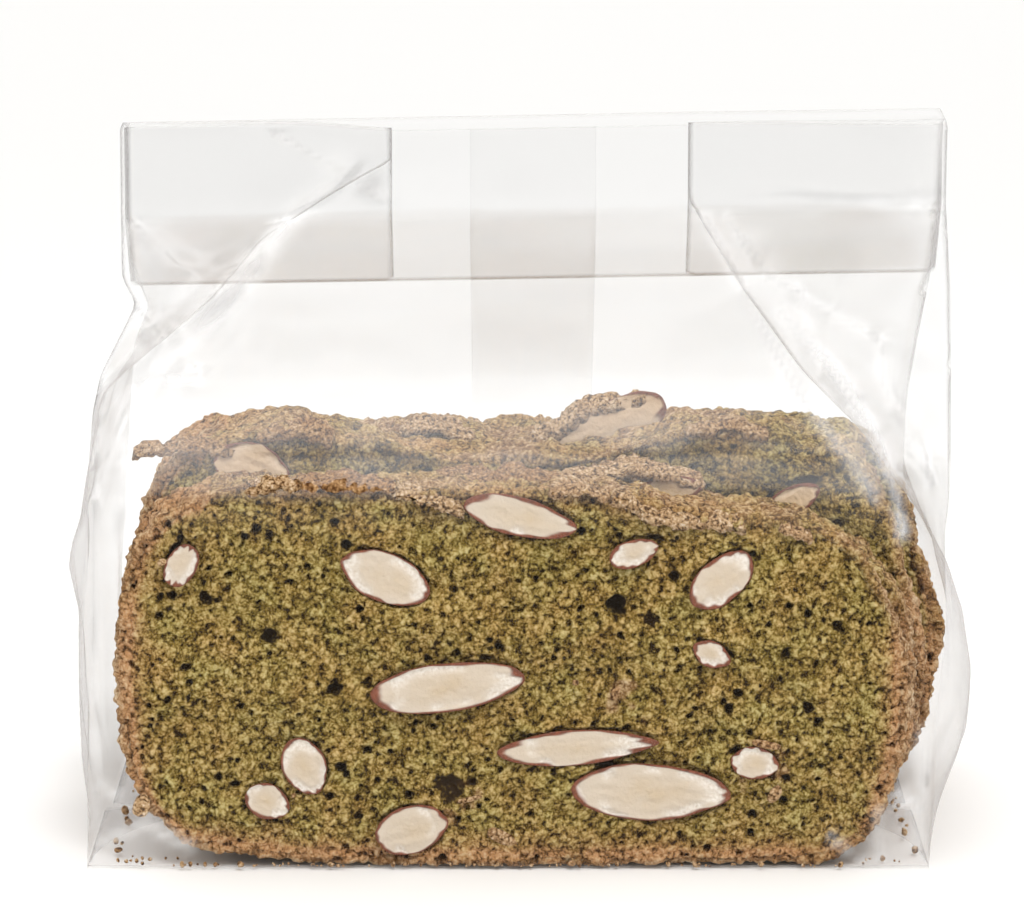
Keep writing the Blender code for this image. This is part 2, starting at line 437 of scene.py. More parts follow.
def film_material(settings):
    """Cast polypropylene film: clear, with a hard gloss that grows towards grazing angles."""
    material = new_material("clear_polypropylene_film")
    tree = material.node_tree
    # Gloss by the angle at which the film is seen, the same from inside and outside
    facing = add_node(tree, "ShaderNodeLayerWeight", {}, {"Blend": 0.5}, "Facing")
    slanted = add_node(tree, "ShaderNodeMath", {"operation": "POWER"}, {0: facing, 1: 1.6})
    grazing = add_node(tree, "ShaderNodeMath", {"operation": "POWER"}, {0: facing, 1: 6.0})
    low = add_node(tree, "ShaderNodeMath", MULTIPLY_ADD, {0: slanted, 1: 0.16, 2: 0.004})
    bare = add_node(tree, "ShaderNodeMath", MULTIPLY_ADD, {0: grazing, 1: 0.22, 2: low})
    gloss = add_node(tree, "ShaderNodeBsdfGlossy", {}, {
        "Color": (1.0, 1.0, 1.0, 1.0), "Roughness": 0.17})
    # Edges seen side on scatter light as a milky white. Along the folds, white bands are painted highlights and
    # grey bands painted dark reflections
    pale, grey = attribute_values(tree, "pale", "grey")
    whiter = add_node(tree, "ShaderNodeMath", MULTIPLY_ADD, {0: pale, 1: 0.6, 2: bare})
    share = add_node(tree, "ShaderNodeMath", CLAMPED, {0: grey, 1: 0.35, 2: whiter})
    folded = add_node(tree, "ShaderNodeMath", {"operation": "ADD"}, {0: pale, 1: grey})
    cloudy = add_node(tree, "ShaderNodeMath", {"operation": "ADD", "use_clamp": True}, {
        0: facing, 1: folded})
    white = add_node(tree, "ShaderNodeMix", COLOURS, {
        0: pale, 6: linear("#D8D5D4"), 7: linear("#FBFAF9")}, 2)
    tone = add_node(tree, "ShaderNodeMix", COLOURS, {0: grey, 6: white, 7: linear("#7E7A78")}, 2)
    milky = add_node(tree, "ShaderNodeBsdfDiffuse", {}, {"Color": tone})
    surface = add_node(tree, "ShaderNodeMixShader", {}, {0: cloudy, 1: gloss, 2: milky})
    clear = add_node(tree, "ShaderNodeBsdfTransparent", {}, {"Color": settings.tint})
    finish_material(tree, add_node(tree, "ShaderNodeMixShader", {}, {
        0: share, 1: clear, 2: surface}))
    return material


def floor_material(settings):
    """Matt white sweep of painted board."""
    material = new_material("matt_white_board")
    tree = material.node_tree
    grain = add_node(tree, "ShaderNodeTexNoise", {}, {"Scale": 400.0, "Detail": 2.0})
    bump = add_node(tree, "ShaderNodeBump", {}, {
        "Strength": 0.02, "Distance": 0.0002, "Height": grain})
    shader = add_node(tree, "ShaderNodeBsdfPrincipled", {}, {
        "Base Color": settings.floor_colour, "Roughness": 0.9, "Specular IOR Level": 0.1,
        "Normal": bump})
    finish_material(tree, shader)
    return material


# The slices. The outline runs anticlockwise from the lower left corner, as seen from the
# front, in four sides: bottom, right, top and left.
BOTTOM_SIDE = [(-53.0, 8.6), (-46.5, 3.2), (-31.0, 0.8), (-16.0, 0.4), (13.0, 0.2), (35.0, 0.4),
               (46.5, 1.1), (52.0, 4.4)]
RIGHT_SIDE = [(52.0, 4.4), (54.8, 10.5), (57.2, 19.0), (57.6, 28.0), (55.6, 37.0), (50.3, 46.6)]
TOP_SIDE = [(50.3, 46.6), (43.0, 51.2), (27.1, 52.8), (12.7, 55.2), (-7.5, 55.8), (-36.3, 56.4),
            (-45.0, 55.4), (-51.0, 51.5)]
LEFT_SIDE = [(-51.0, 51.5), (-55.6, 45.6), (-57.3, 36.0), (-57.4, 25.0), (-56.2, 15.0),
             (-53.0, 8.6)]

# The slices behind have squarer tops than the front one
SQUARE_RIGHT = [(52.0, 4.4), (55.2, 10.5), (57.2, 19.0), (57.6, 28.0), (54.6, 36.5), (53.2, 43.5),
                (50.2, 50.5)]
SQUARE_TOP = [(50.2, 50.5), (46.0, 55.4), (30.0, 56.8), (10.0, 56.0), (-10.0, 56.0), (-36.0, 56.6),
              (-48.0, 56.2), (-54.0, 51.6)]
SQUARE_LEFT = [(-54.0, 51.6), (-57.0, 44.0), (-57.4, 36.0), (-57.4, 25.0), (-56.2, 15.0),
               (-53.0, 8.6)]

# Each slice: (left edge, right edge, top, tilt in degrees, seed, square top), front to back
SLICES = [
    (-57.4, 57.6, 56.4, 0.0, 11, False),
    (-55.0, 59.6, 55.0, 0.0, 23, False),
    (-56.6, 62.2, 56.8, 0.0, 37, True),
    (-54.5, 65.8, 57.0, 0.0, 41, True),
    (-57.0, 61.2, 56.0, 0.5, 59, True),
]
# How each slice's top stands above or below that outline, as (x, change) stops
TOP_CHANGES = [
    [(-60.0, 0.0), (60.0, 0.0)],
    [(-55.0, -3.0), (-22.0, -3.5), (-14.0, -0.8), (8.0, 0.2), (17.0, 1.8), (24.0, 2.6), (29.0, -0.5),
     (36.0, -2.5), (60.0, -3.0)],
    [(-57.0, 0.6), (-44.0, 0.6), (-38.0, 2.0), (-33.0, 3.6), (-26.0, 2.0), (-16.0, 0.2), (8.0, -1.0),
     (20.0, 1.6), (28.0, 2.8), (40.0, 2.6), (44.0, 0.6), (60.0, 0.8)],
    [(-55.0, -1.5), (-39.0, 0.8), (-33.0, 1.4), (-26.0, -1.0), (-16.0, 0.2), (-9.0, 0.3), (-2.0, -1.8),
     (6.0, 0.2), (22.0, 1.2), (41.0, 0.3), (60.0, -0.5)],
    [(-60.0, -1.5), (60.0, -1.0)],
]
FRONT_Y = -37.9
# Nothing in the bag stands further forward than this
FILM_INSIDE = -38.6


def smooth_path(points, count):
    """A Catmull-Rom curve through the points, as evenly spaced points."""
    p = np.array(points)
    p = np.vstack([2 * p[0] - p[1], p, 2 * p[-1] - p[-2]])
    t = np.linspace(0.0, 1.0, 24, endpoint=False)[:, None]
    pieces = []
    for a, b, c, d in zip(p, p[1:], p[2:], p[3:]):
        pieces.append(0.5 * (2 * b + (c - a) * t + (2 * a - 5 * b + 4 * c - d) * t**2
                             + (3 * b - 3 * c + d - a) * t**3))
    dense = np.vstack(pieces + [p[-2:-1]])
    run = np.concatenate([[0.0], np.cumsum(np.linalg.norm(np.diff(dense, axis=0), axis=1))])
    even = np.linspace(0.0, run[-1], count + 1)
    return np.stack([np.interp(even, run, dense[:, k]) for k in (0, 1)], axis=1)


def slice_outline(columns, rows, entry, changes):
    """The four sides of a slice's outline, fitted to its own left, right and top."""
    left, right, top, tilt, _, square = entry
    upper = (SQUARE_RIGHT, SQUARE_TOP, SQUARE_LEFT) if square else (RIGHT_SIDE, TOP_SIDE, LEFT_SIDE)
    counts = (columns, rows, columns, rows)
    turn = math.radians(tilt)
    middle = (left + right) / 2
    fitted = []
    for side, count in zip((BOTTOM_SIDE, *upper), counts):
        path = smooth_path(side, count)
        x = left + (path[:, 0] + 57.4) * (right - left) / 115.0
        raised = ease(30.0, 50.0, path[:, 1])
        z = path[:, 1] * (1.0 + (top / 56.4 - 1.0) * raised) + stops(changes, x, 1.5) * raised
        fitted.append(np.stack([
            middle + (x - middle) * math.cos(turn) - (z - 1.0) * math.sin(turn),
            z + (x - middle) * math.sin(turn) * ease(5.0, 40.0, z)], axis=1))
    return fitted


def inset_sides(sides, distance):
    """The four sides moved inwards by a distance."""
    loop = np.vstack([side[:-1] for side in sides])
    along = np.roll(loop, -1, axis=0) - np.roll(loop, 1, axis=0)
    along /= np.linalg.norm(along, axis=1, keepdims=True)
    inwards = np.stack([-along[:, 1], along[:, 0]], axis=1)
    moved = loop + inwards * distance
    result = []
    start = 0
    for side in sides:
        count = len(side) - 1
        picked = np.arange(start, start + count + 1) % len(loop)
        result.append(moved[picked])
        start += count
    return result


def patch(sides, column, row):
    """Points inside the outline for whole-numbered columns and rows."""
    bottom, right, top, left = sides
    top, left = top[::-1], left[::-1]
    u = (column / (len(bottom) - 1))[:, None]
    v = (row / (len(left) - 1))[:, None]
    corners = ((1 - u) * (1 - v) * bottom[0] + u * (1 - v) * bottom[-1]
               + (1 - u) * v * top[0] + u * v * top[-1])
    return ((1 - v) * bottom[column] + v * top[column] + (1 - u) * left[row]
            + u * right[row] - corners)


def slab(columns, rows, layers, plain_back):
    """A grid extruded into a slab, with its sides cut into layers, as the active object.

    With a plain back, the face that the next slice hides stays three times as coarse.
    """
    step = 3 if plain_back else 1
    deselect()
    bpy.ops.mesh.primitive_grid_add(x_subdivisions=columns // step, y_subdivisions=rows // step,
                                    size=1.0)
    bpy.ops.object.mode_set(mode="EDIT")
    bpy.ops.mesh.select_all(action="SELECT")
    bpy.ops.mesh.extrude_region_move(TRANSFORM_OT_translate={"value": (0.0, 0.0, 1.0)})
    bpy.ops.mesh.normals_make_consistent(inside=False)
    bpy.ops.object.mode_set(mode="OBJECT")
    mesh = bpy.context.active_object.data
    co = coordinates(mesh)
    ends = np.zeros(len(mesh.edges) * 2, dtype=np.int64)
    mesh.edges.foreach_get("vertices", ends)
    ends = ends.reshape(-1, 2)
    upright = np.abs(co[ends[:, 0], 2] - co[ends[:, 1], 2]) > 0.5
    select_only(mesh, mesh.edges, upright)
    bpy.ops.object.mode_set(mode="EDIT")
    bpy.ops.mesh.subdivide(number_cuts=layers // step - 1)
    bpy.ops.object.mode_set(mode="OBJECT")
    if plain_back:
        centres = np.zeros(len(mesh.polygons) * 3)
        mesh.polygons.foreach_get("center", centres)
        select_only(mesh, mesh.polygons, centres.reshape(-1, 3)[:, 2] > 1e-5)
        bpy.ops.object.mode_set(mode="EDIT")
        bpy.ops.mesh.subdivide(number_cuts=step - 1)
        bpy.ops.object.mode_set(mode="OBJECT")
    return bpy.context.active_object


def select_only(mesh, kind, chosen):
    """Selects some of a mesh's edges or faces, and nothing else."""
    faces = kind == mesh.polygons
    bpy.context.tool_settings.mesh_select_mode = (False, not faces, faces)
    for each in (mesh.vertices, mesh.edges, mesh.polygons):
        each.foreach_set("select", np.zeros(len(each), dtype=bool))
    kind.foreach_set("select", chosen)


# Pores in the front slice that are larger than the rest: (x, z, radius, depth)
FRONT_PORES = [
    (-35.3, 34.6, 1.3, 1.6), (14.9, 39.3, 1.5, 2.4), (20.0, 37.1, 1.3, 0.9),
    (-26.0, 26.8, 1.0, 2.0), (-25.0, 15.2, 0.9, 1.8), (-44.4, 40.1, 1.1, 1.2),
    (-22.0, 38.5, 0.7, 1.6), (-37.0, 50.5, 0.9, 1.7), (3.5, 43.0, 0.6, 1.4),
    (-9.0, 12.5, 2.4, 0.6), (43.0, 24.0, 0.9, 1.5), (-47.5, 30.0, 0.9, 1.3),
    (-2.0, 33.0, 0.6, 1.6), (33.0, 26.0, 0.8, 1.4), (47.0, 36.0, 1.0, 1.4),
]


# Where ground almond skin reddens the front slice: (x, z, radius)
STAINS = [(16.5, 26.2, 4.2), (36.2, 16.0, 4.4), (-7.5, 10.4, 2.6), (-9.0, 8.0, 2.0)]


def crumb_relief(points, settings, seed):
    """Height of the torn crumb in mm, and how light it is from 0 to 1: lighter on the clumps and darker in the
    pits, as painted highlight and painted shade.
    """
    clump, clump_own = grains(points, settings.grain / MM, seed)
    granule, granule_own = grains(points, settings.fine_grain / MM, seed + 10)
    pore, pore_own = grains(points, settings.pit_spacing / MM, seed + 20)
    small_pore, small_own = grains(points, 1.7, seed + 30)
    clumps = 0.62 * (0.55 - clump) + 0.2 * (clump_own - 0.5)
    granules = 0.40 * (0.52 - granule) + 0.1 * (granule_own - 0.5)
    reach = 0.25 + 0.75 * pore_own**2
    pore_mm = pore * settings.pit_spacing / MM
    pit = 1.5 * (pore_own > 0.3) * (1.0 - ease(0.3 * reach, reach, pore_mm))
    small_reach = 0.2 + 0.4 * small_own
    small_pit = 0.9 * (small_own > 0.45) * (1.0 - ease(0.3 * small_reach, small_reach,
                                                      small_pore * 1.7))
    height = clumps + granules - pit - small_pit
    # Painted shade in the pits, painted highlight on the clumps
    light = 0.61 + 0.95 * (clumps + granules) - 0.5 * (pit + small_pit)
    return height, np.clip(light, 0.0, 1.0)


def almond_distance(points, entry):
    """1 on the rim of an almond's cut face, less inside, and how far above its middle."""
    _, x0, z0, long_size, wide_size, tilt, _ = entry
    turn = math.radians(tilt)
    dx, dz = points[:, 0] - x0, points[:, 2] - z0
    along = dx * math.cos(turn) + dz * math.sin(turn)
    across = -dx * math.sin(turn) + dz * math.cos(turn)
    return np.hypot(along / (0.5 * long_size), across / (0.5 * wide_size)), across


def make_wafer(index, entry, settings, material):
    """One slice: a slab on the loaf's outline, with crumb on its faces and crust round it."""
    columns, rows = (345, 168) if index == 0 else (260, 126)
    layers = 24 if index == 0 else 20
    body = slab(columns, rows, layers, plain_back=index == 0)
    mesh = body.data
    grid = coordinates(mesh)
    column = np.rint((grid[:, 0] + 0.5) * columns).astype(int)
    row = np.rint((grid[:, 1] + 0.5) * rows).astype(int)
    share = grid[:, 2]
    thickness = settings.thickness / MM
    bevel = settings.edge_round / MM
    sides = slice_outline(columns, rows, entry, TOP_CHANGES[index])
    seed = entry[4]

    front_y = FRONT_Y + index * settings.pitch / MM
    y = front_y + (1.0 - share) * thickness
    from_face = np.minimum(share, 1.0 - share) * thickness
    drop = np.clip(bevel - from_face, 0.0, bevel)
    inset = bevel - np.sqrt(bevel**2 - drop**2)
    flat = np.zeros((len(grid), 2))
    for level in np.unique(np.round(inset, 4)):
        chosen = np.abs(inset - level) < 6e-5
        flat[chosen] = patch(inset_sides(sides, level), column[chosen], row[chosen])
    points = np.stack([flat[:, 0], y, flat[:, 1]], axis=1)
    set_coordinates(mesh, points)
    normal = normals(mesh)

    # How far each point is from the crust, measured across the cut face
    width, height = entry[1] - entry[0], entry[2]
    from_crust = np.minimum(np.minimum(column, columns - column) * width / columns,
                            np.minimum(row, rows - row) * height / rows)
    on_face = ease(0.35, 0.85, np.abs(normal[:, 1]))
    upwards = ease(0.1, 0.7, normal[:, 2])

    relief, light = crumb_relief(points, settings, seed * 100)
    broad = 0.9 * soft_noise(points, 9.0, seed) + 0.55 * soft_noise(points, 4.2, seed + 1)
    face_height = 1.15 * relief + broad - 0.75
    side_clump, _ = grains(points, 2.3, seed * 100 + 50)
    side_lump, _ = grains(points, 5.5, seed * 100 + 60)
    side_height = (0.5 * soft_noise(points, 6.5, seed + 2) + 1.1 * (0.5 - side_clump)
                   + 0.4 * soft_noise(points, 1.5, seed + 8) + 0.9 * relief + upwards * (1.3 * (0.45 - side_lump)
                                               + 0.8 * soft_noise(points, 9.0, seed + 3)))
    along_top = (row > rows * 0.5) * (np.abs(column / columns - 0.5) < 0.42)
    browning = 1.2 * np.exp(-from_crust / 2.0) + 0.5 * np.exp(-from_crust / 6.0)
    browning *= 1.0 - 0.6 * along_top
    browning *= 1.0 - 0.7 * ease(30.0, 44.0, points[:, 0]) * ease(26.0, 40.0, points[:, 2])
    move = on_face * face_height + (1.0 - on_face) * side_height
    if index == 0:
        for x, z, radius, depth in FRONT_PORES:
            d = np.hypot(points[:, 0] - x, points[:, 2] - z)
            d += 0.35 * radius * soft_noise(points, 1.4, seed + 12)
            hollow = on_face * (1.0 - ease(0.45 * radius, radius, d))
            move -= depth * hollow
            # The larger pores are also painted darker, as shade
            light = np.clip(light - 0.8 * hollow, 0.0, 1.0)
    # The crumb stays clear of the almonds' cut faces, and gapes above some of them, where the gap is also
    # painted darker as shade
    on_front = on_face * (normal[:, 1] < 0.0)
    for entry_k in ALMONDS:
        if entry_k[0] == index:
            rim_distance, across = almond_distance(points, entry_k)
            inside = 1.0 - ease(0.9, 1.0, rim_distance)
            move = move * (1.0 - inside * on_front) - 1.6 * inside * on_front
            gape = ease(0.2, 0.7, soft_noise(points, 3.5, seed + 14)) * ease(0.3, 1.2, across)
            gape *= 1.0 - ease(1.1, 1.25, rim_distance)
            move -= 1.2 * gape * (1.0 - inside) * on_front
            light = np.clip(light - 0.6 * gape * on_front, 0.0, 1.0)
    move = np.where(on_face > 0.5, np.minimum(move, 0.12), np.minimum(move, 1.6))
    points = points + normal * move[:, None]
    # Torn rather than cut: points wander a little sideways too
    wander = np.stack([soft_noise(points, 0.8, seed + 5 + k) for k in range(3)], axis=1)
    points += 0.16 * wander * np.array([1.0, 0.3, 1.0])
    # The lower edge rests on the film
    points[:, 2] = np.maximum(points[:, 2], 0.25 + 0.25 * np.abs(soft_noise(points, 2.0, seed + 9)))

    crust = (1.0 - on_face) * ease(0.25, 0.6, 0.62 + 0.5 * soft_noise(points, 2.2, seed + 7))
    # Along much of the top the crust has come off, and the green crumb shows
    crust *= 1.0 - 0.9 * upwards * ease(-0.5, 0.1, soft_noise(points, 8.0, seed + 15))
    if index == 0:
        for x, z, radius in STAINS:
            d = np.hypot(points[:, 0] - x, points[:, 2] - z) / radius
            patchy = ease(-0.1, 0.5, soft_noise(points, 1.6, seed + 16) + 0.6 - d)
            crust = np.maximum(crust, 0.75 * patchy * on_front)
    # The lightness carries painted shade in the pits and gaps
    add_attribute(mesh, "relief", light)
    add_attribute(mesh, "crust", crust)
    add_attribute(mesh, "rim", np.clip(browning, 0.0, 1.0))
    place(mesh, points)
    start_object(f"wafer_{index + 1}")
    finish_piece(body, material)


# Cut almonds: (slice, x, z, length, width, tilt in degrees, pointedness)
ALMONDS = [
    (0, -47.8, 45.1, 6.8, 4.4, 62.0, 0.1), (0, -18.1, 43.2, 13.6, 7.8, -22.0, 0.3),
    (0, 1.2, 52.2, 16.4, 6.1, -12.0, 0.4), (0, 17.6, 46.9, 7.4, 4.4, 18.0, 0.4),
    (0, 30.4, 43.0, 11.0, 6.8, 42.0, 0.3), (0, -9.4, 27.1, 23.0, 7.6, 7.0, 0.3),
    (0, 29.0, 32.0, 5.8, 4.1, -25.0, 0.3), (0, -30.2, 15.3, 8.8, 6.6, -62.0, 0.3),
    (0, -35.7, 10.1, 6.8, 5.3, -25.0, 0.1), (0, -14.7, 5.9, 10.6, 7.3, 12.0, 0.1),
    (0, 9.4, 18.1, 23.8, 5.6, 4.0, 0.5), (0, 20.4, 11.6, 23.0, 9.1, -3.0, 0.5),
    (0, 35.3, 15.8, 7.0, 5.0, -8.0, 0.2),
    (1, 23.0, 53.4, 9.6, 4.4, 8.0, 0.3), (2, 41.9, 48.8, 9.4, 4.8, 28.0, 0.3),
    (2, -38.9, 53.5, 12.0, 8.6, -20.0, 0.1), (3, 13.8, 56.7, 21.0, 7.6, 27.0, -0.4),
]


def make_almond(name, entry, settings, wafer_settings, material, seed):
    """One almond, cut flush with the crumb of its slice, with its skin round the cut face."""
    index, x0, z0, long_size, wide_size, tilt, point = entry
    deselect()
    bpy.ops.mesh.primitive_uv_sphere_add(segments=96, ring_count=48, radius=1.0)
    almond = bpy.context.active_object
    mesh = almond.data
    ball = coordinates(mesh)
    # The ball's pole at +Z becomes the middle of the cut face, and its lower part the back
    polar = np.arccos(np.clip(ball[:, 2], -1.0, 1.0)) / math.pi
    around = np.arctan2(ball[:, 1], ball[:, 0])
    face_share = 0.62
    back_turn = np.clip((polar - face_share) / (1 - face_share), 0.0, 1.0) * math.pi / 2
    face = polar < face_share
    radial = np.where(face, polar / face_share, np.cos(back_turn))
    along, across = np.cos(around), np.sin(around)
    rim = np.stack([along * 1.6, across * 1.6, 0.0 * along + seed], axis=1)
    # The tip narrows at +X, and no almond is quite even
    taper = 1.0 - 0.45 * point * (0.5 + 0.5 * along) ** 1.5
    uneven = 1.0 + 0.06 * soft_noise(rim, 1.0, seed) + 0.02 * soft_noise(rim, 0.3, seed + 1)
    pinch = np.sign(across) * np.abs(across) ** (1.0 + 0.35 * point)
    lx = 0.5 * long_size * radial * along * uneven
    lz = 0.5 * wide_size * radial * pinch * taper * uneven
    flat = np.stack([lx, np.zeros_like(lx), lz], axis=1)
    ridges = 0.10 * soft_noise(flat * np.array([0.4, 1.0, 1.5]), 1.3, seed + 3)
    ridges += 0.06 * soft_noise(flat, 0.5, seed + 4)
    # The skin stands round the edge, and the flesh next to it is chipped in places
    rim_mm = (1.0 - radial) * 0.5 * wide_size
    skin_mm = settings.skin / MM * (1.0 + 1.0 * soft_noise(rim, 0.4, seed + 5))
    skin = np.where(face, 1.0 - ease(0.7 * skin_mm, 1.3 * skin_mm, rim_mm), 1.0)
    chipped = (1.0 - ease(0.5, 2.0, rim_mm)) * ease(-0.1, 0.4, soft_noise(flat, 2.2, seed + 6))
    ly = np.where(face, ridges + 0.3 * chipped * (1.0 - skin) - 0.05 * skin,
                  np.sin(back_turn) * 0.36 * wide_size + 0.02)
    turn = math.radians(tilt)
    x = x0 + lx * math.cos(turn) - lz * math.sin(turn)
    z = z0 + lx * math.sin(turn) + lz * math.cos(turn)
    front = FRONT_Y + index * wafer_settings.pitch / MM
    add_attribute(mesh, "skin", skin)
    add_attribute(mesh, "middle", np.where(face, 1.2 - radial, 0.0))
    add_attribute(mesh, "chipped", np.where(face, chipped, 0.0))
    # The almonds behind the front slice get the warmer tone of a rougher cut and painted shade
    add_attribute(mesh, "toasted", np.full(len(ball), 0.0 if index == 0 else 0.6))
    place(mesh, np.stack([x, front - 0.12 + ly, z], axis=1))
    make_outward()
    start_object(name)
    finish_piece(almond, material)


def make_outward():
    """Turns the faces of the active object outwards."""
    bpy.ops.object.mode_set(mode="EDIT")
    bpy.ops.mesh.select_all(action="SELECT")
    bpy.ops.mesh.normals_make_consistent(inside=False)
    bpy.ops.object.mode_set(mode="OBJECT")


# Lifted crust along the slices' upper edges: (slice, path of (x, z) from left to right, how far
# it hangs over the cut face, how far back it reaches, thickness, how brown it is, seed)
FLAKES = [
    (0, [(-38.0, 56.2), (-34.5, 57.4), (-30.4, 56.9)], 0.7, 5.0, 0.9, 0.25, 71),
    (0, [(-31.0, 56.7), (-24.5, 56.9), (-17.0, 56.4)], 0.3, 10.0, 0.8, 1.0, 72),
    (0, [(-18.0, 56.4), (-12.5, 55.2), (-6.8, 53.4)], 0.8, 6.0, 1.1, -0.3, 73),
    (0, [(5.6, 55.8), (10.0, 56.0), (14.4, 55.2)], 0.5, 5.0, 0.8, 0.2, 74),
    (0, [(14.6, 55.6), (17.4, 54.4), (21.0, 52.3), (27.0, 52.0), (33.8, 51.0)], 0.8, 3.5, 1.1, -0.2, 75),
    (0, [(38.6, 51.2), (41.0, 50.0), (43.4, 49.2)], 0.5, 3.0, 0.9, 0.3, 76),
    (1, [(-14.4, 54.4), (-8.0, 55.0), (0.0, 55.2), (8.0, 54.8)], 0.3, 12.0, 0.9, 0.9, 77),
    (1, [(7.0, 55.2), (14.0, 56.2), (20.0, 56.6), (28.0, 54.4)], 0.6, 6.0, 1.1, 0.1, 78),
    (2, [(-38.0, 58.6), (-33.0, 60.2), (-27.0, 59.0)], 0.4, 6.0, 1.3, 0.7, 79),
    (2, [(-57.0, 56.4), (-50.0, 57.2), (-42.0, 57.2)], 0.4, 4.0, 0.9, 0.7, 80),
    (2, [(26.0, 59.6), (32.0, 60.4), (38.5, 59.2)], 0.4, 3.0, 1.0, 0.4, 81),
    (3, [(-17.0, 57.4), (-12.0, 57.8), (-6.0, 56.0)], 0.6, 6.0, 1.2, 0.1, 82),
    (3, [(-0.8, 53.6), (7.0, 57.9), (13.0, 61.5), (20.6, 63.2)], 0.5, 2.6, 1.5, 0.0, 83),
]


def make_flake(name, entry, wafer_settings, material):
    """One strip of lifted crust: thin, wavy, ragged at its edges and curled over the cut."""
    index, path, hang, reach, thick, browned, seed = entry
    span = path[-1][0] - path[0][0]
    columns, rows = int(span / 0.32), int((hang + reach) / 0.4)
    deselect()
    bpy.ops.mesh.primitive_grid_add(x_subdivisions=columns, y_subdivisions=rows, size=1.0)
    flake = bpy.context.active_object
    mesh = flake.data
    grid = coordinates(mesh)
    column = np.rint((grid[:, 0] + 0.5) * columns).astype(int)
    run = smooth_path(path, columns)[column]
    u, v = grid[:, 0] + 0.5, grid[:, 1] + 0.5
    ends = np.sqrt(1.0 - 0.97 * np.abs(2.0 * u - 1.0) ** 2.6)
    strip = np.stack([run[:, 0], 0.0 * u, 0.0 * u + seed], axis=1)
    ragged = 0.8 * soft_noise(strip, 1.7, seed) + 0.5 * soft_noise(strip, 0.7, seed + 7)
    front = hang * ends * (1.0 + ragged)
    back = reach * ends * (0.75 + 0.35 * soft_noise(strip, 2.4, seed + 1))
    front_y = FRONT_Y + index * wafer_settings.pitch / MM
    y = front_y - front + v * (front + back)
    curl = 1.0 - ease(0.0, 1.6, y - front_y + front)
    flat = np.stack([run[:, 0], y, 0.0 * u + seed], axis=1)
    z = run[:, 1] - 0.8 * thick * curl + 0.7 * soft_noise(flat, 3.4, seed + 2) * (0.4 + v)
    z += 0.35 * soft_noise(flat, 1.3, seed + 8)
    place(mesh, np.stack([run[:, 0] + 0.3 * soft_noise(flat, 1.2, seed + 3), y, z], axis=1))
    solid = flake.modifiers.new("crust", "SOLIDIFY")
    solid.thickness = thick * MM
    solid.offset = 0.0
    bpy.ops.object.modifier_apply(modifier=solid.name)
    points = coordinates(mesh) / MM
    clump, _ = grains(points, 1.5, seed + 4)
    crumb, _ = grains(points, 0.7, seed + 5)
    lumps = 0.9 * (0.5 - clump) + 0.6 * (0.5 - crumb) + 0.4 * soft_noise(points, 2.6, seed + 6)
    points += normals(mesh) * lumps[:, None]
    points[:, 1] = np.maximum(points[:, 1], FILM_INSIDE + CENTRE_SHIFT[1])
    set_coordinates(mesh, points * MM)
    add_attribute(mesh, "browned", 0.0 * lumps + browned)
    start_object(name)
    finish_piece(flake, material)


# Chips of nut and skin that lie on the front slice: (x, z, length, width, tilt, thickness)
NUT_CHIPS = [(-54.0, 9.4, 3.6, 2.6, 70.0, 1.6), (-50.6, 45.6, 1.4, 1.0, 20.0, 0.6)]
SKIN_CHIPS = [(15.0, 26.2, 2.3, 1.3, 55.0, 0.6), (-1.6, 4.9, 4.6, 2.0, -25.0, 0.7),
              (38.2, 11.2, 2.8, 1.6, 60.0, 0.6), (9.2, 27.8, 0.9, 0.8, 0.0, 0.5),
              (-31.8, 11.0, 0.8, 0.6, 30.0, 0.4), (-6.4, 10.4, 4.0, 0.7, 12.0, 0.5),
              (37.0, 18.6, 4.6, 1.2, -12.0, 0.8)]


def make_chip(name, entry, material, seed, browned):
    """A small curved chip, pressed into the crumb of the front slice."""
    x0, z0, long_size, wide_size, tilt, thick = entry
    deselect()
    bpy.ops.mesh.primitive_ico_sphere_add(subdivisions=5, radius=1.0)
    chip = bpy.context.active_object
    mesh = chip.data
    ball = coordinates(mesh)
    bent = ball * (1.0 + 0.22 * soft_noise(ball, 0.7, seed)[:, None])
    turn = math.radians(tilt)
    along, across = bent[:, 0] * long_size / 2, bent[:, 2] * wide_size / 2
    y = FRONT_Y - 0.1 + bent[:, 1] * thick / 2 + 0.25 * thick * (bent[:, 0] ** 2 - 0.5)
    y = np.maximum(y, FILM_INSIDE)
    place(mesh, np.stack([x0 + along * math.cos(turn) - across * math.sin(turn), y,
                          z0 + along * math.sin(turn) + across * math.cos(turn)], axis=1))
    add_attribute(mesh, "browned", np.full(len(ball), browned))
    start_object(name)
    finish_piece(chip, material)


# Where loose crumbs have gathered: (how many, low corner, high corner, smallest, largest), mm
CRUMB_SPOTS = [
    (10, (-58.0, -37.6, 0.5), (-48.0, -33.0, 1.2), 0.3, 1.0),
    (8, (46.0, -37.8, 0.5), (58.0, -33.0, 1.0), 0.3, 1.0),
    (70, (-50.0, -38.2, 0.2), (48.0, -37.4, 0.8), 0.3, 1.0),
    (20, (-59.0, -30.0, 0.5), (-57.5, 30.0, 1.5), 0.4, 1.4),
    (20, (58.0, -30.0, 0.5), (59.5, 30.0, 1.5), 0.4, 1.4),
    (18, (52.0, 36.0, 0.5), (59.0, 38.0, 1.5), 0.4, 1.4),
    (18, (-59.0, 36.0, 0.5), (-52.0, 38.0, 1.5), 0.4, 1.4),
]


